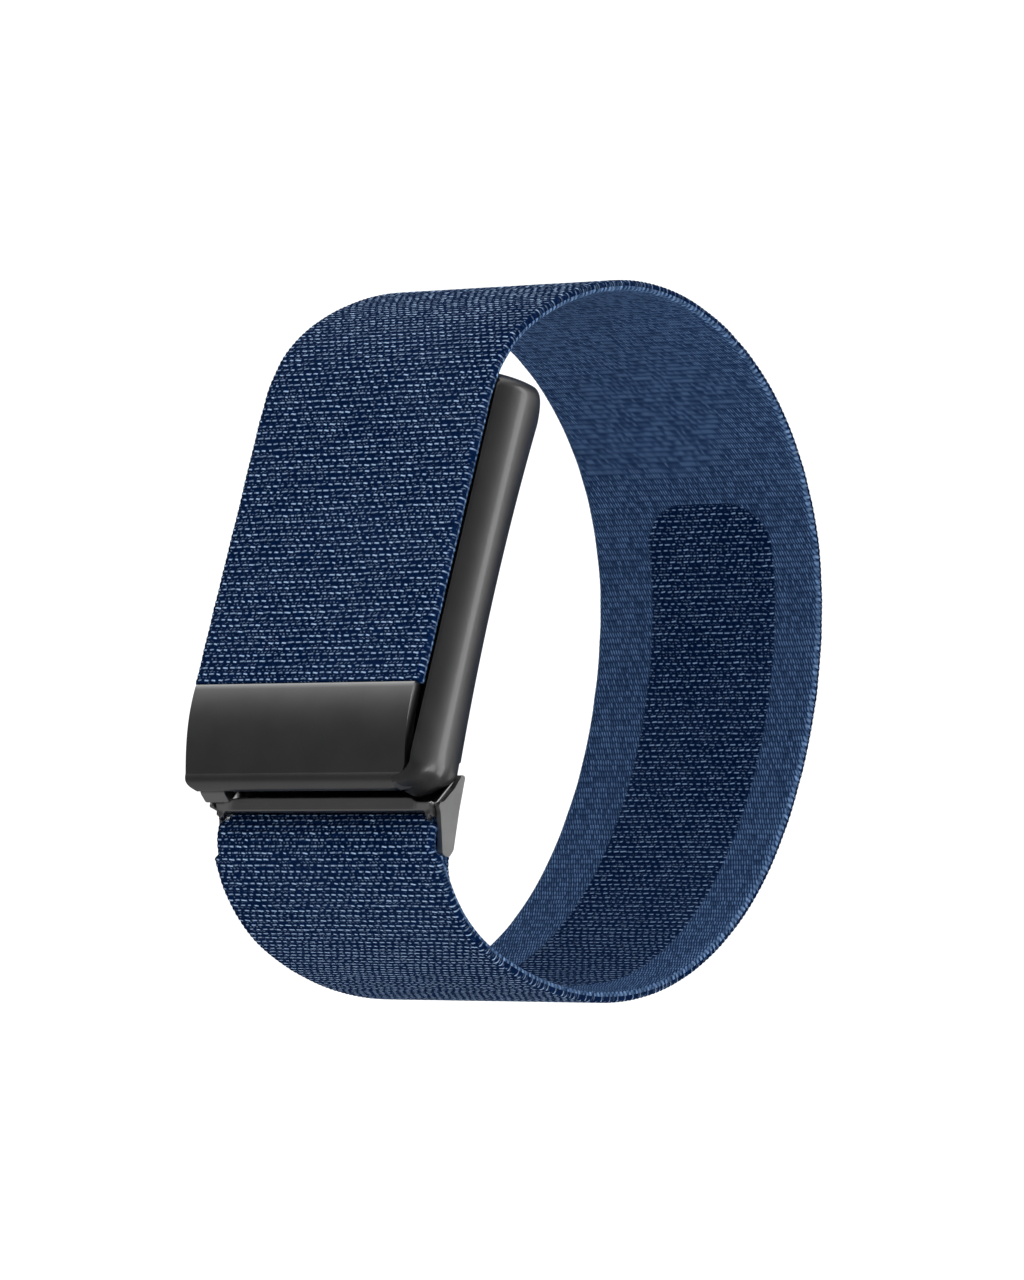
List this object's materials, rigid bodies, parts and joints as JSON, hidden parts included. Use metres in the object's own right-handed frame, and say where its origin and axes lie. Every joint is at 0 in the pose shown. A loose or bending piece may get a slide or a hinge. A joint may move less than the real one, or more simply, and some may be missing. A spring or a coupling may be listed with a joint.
{
  "type": "fitness tracker band",
  "caption": "Slim sensor pod held in a carrier under a woven wrist strap, with a lever clasp plate and a hooked buckle frame that the strap folds through.",
  "frame": {"origin": "middle of the wrist opening, halfway across the band's width", "axes": "+X from the pod across the wrist to the far side of the strap loop, +Y along the band's width and the forearm, +Z from the buckle end of the pod up to the end where the strap bends over"},
  "size_m": [0.0663, 0.0284, 0.0692],
  "materials": {
    "fabric": "matte woven navy",
    "clasp_steel": "satin dark grey",
    "dark_steel": "dark plated",
    "spring_steel": "ground",
    "shell": "satin black",
    "gloss": "polished black",
    "silicone": "matte black",
    "board": "green solder mask",
    "chip": "moulded black",
    "tin": "tinned",
    "gold": "gold plated",
    "pouch": "foil",
    "led": "clear green",
    "photodiode": "dark tinted",
    "ceramic": "fired ceramic",
    "film": "adhesive film"
  },
  "bodies": {
    "band": {"strap_upper": "fabric", "strap_bond": "film", "carrier": "dark_steel", "carrier_pad_upper": "silicone", "carrier_pad_lower": "silicone", "lever_pin": "spring_steel"},
    "strap_loop": {"strap_lower": "fabric"},
    "buckle": {"clasp_frame": "clasp_steel"},
    "lever": {"clasp_plate": "clasp_steel", "lever_cushion": "silicone"},
    "pod": {"case_outer": "shell", "case_wrist": "shell", "case_gasket": "silicone", "skin_cover": "gloss", "charge_contact_left": "gold", "charge_contact_right": "gold", "main_board": "board", "board_screw_left": "dark_steel", "board_screw_right": "dark_steel", "battery": "pouch", "battery_pad": "film", "battery_connector": "chip", "shield_can": "tin", "processor": "chip", "memory_chip": "chip", "crystal": "tin", "motion_sensor": "chip", "antenna": "ceramic", "sensor_board": "board", "optical_barrier": "silicone", "emitter": "led", "light_receiver_1": "photodiode", "light_receiver_2": "photodiode", "light_receiver_3": "photodiode", "light_receiver_4": "photodiode", "motor_case": "tin", "motor_base": "tin", "motor_shaft": "spring_steel"},
    "rotor": {"motor_rotor": "dark_steel"}
  },
  "joints": [
    {"name": "strap_open", "type": "hinge", "parent": "band", "child": "strap_loop", "pos_m": [-0.02489, 0, 0.02212], "axis": [0, -1, 0], "range_deg": [0, 25]},
    {"name": "frame_pivot", "type": "hinge", "parent": "strap_loop", "child": "buckle", "pos_m": [-0.02975, 0, -0.0189], "axis": [0, 1, 0], "range_deg": [0, 35]},
    {"name": "lever_lift", "type": "hinge", "parent": "band", "child": "lever", "pos_m": [-0.03498, 0, -0.01396], "axis": [0, -1, 0], "range_deg": [0, 60]},
    {"name": "pod_slide", "type": "slide", "parent": "band", "child": "pod", "axis": [0, -1, 0], "range_m": [0, 0.03]},
    {"name": "motor_spin", "type": "hinge", "parent": "pod", "child": "rotor", "pos_m": [-0.02861, -0.0072, -0.00143], "axis": [0.9397, 0, -0.342], "continuous": true}
  ]
}
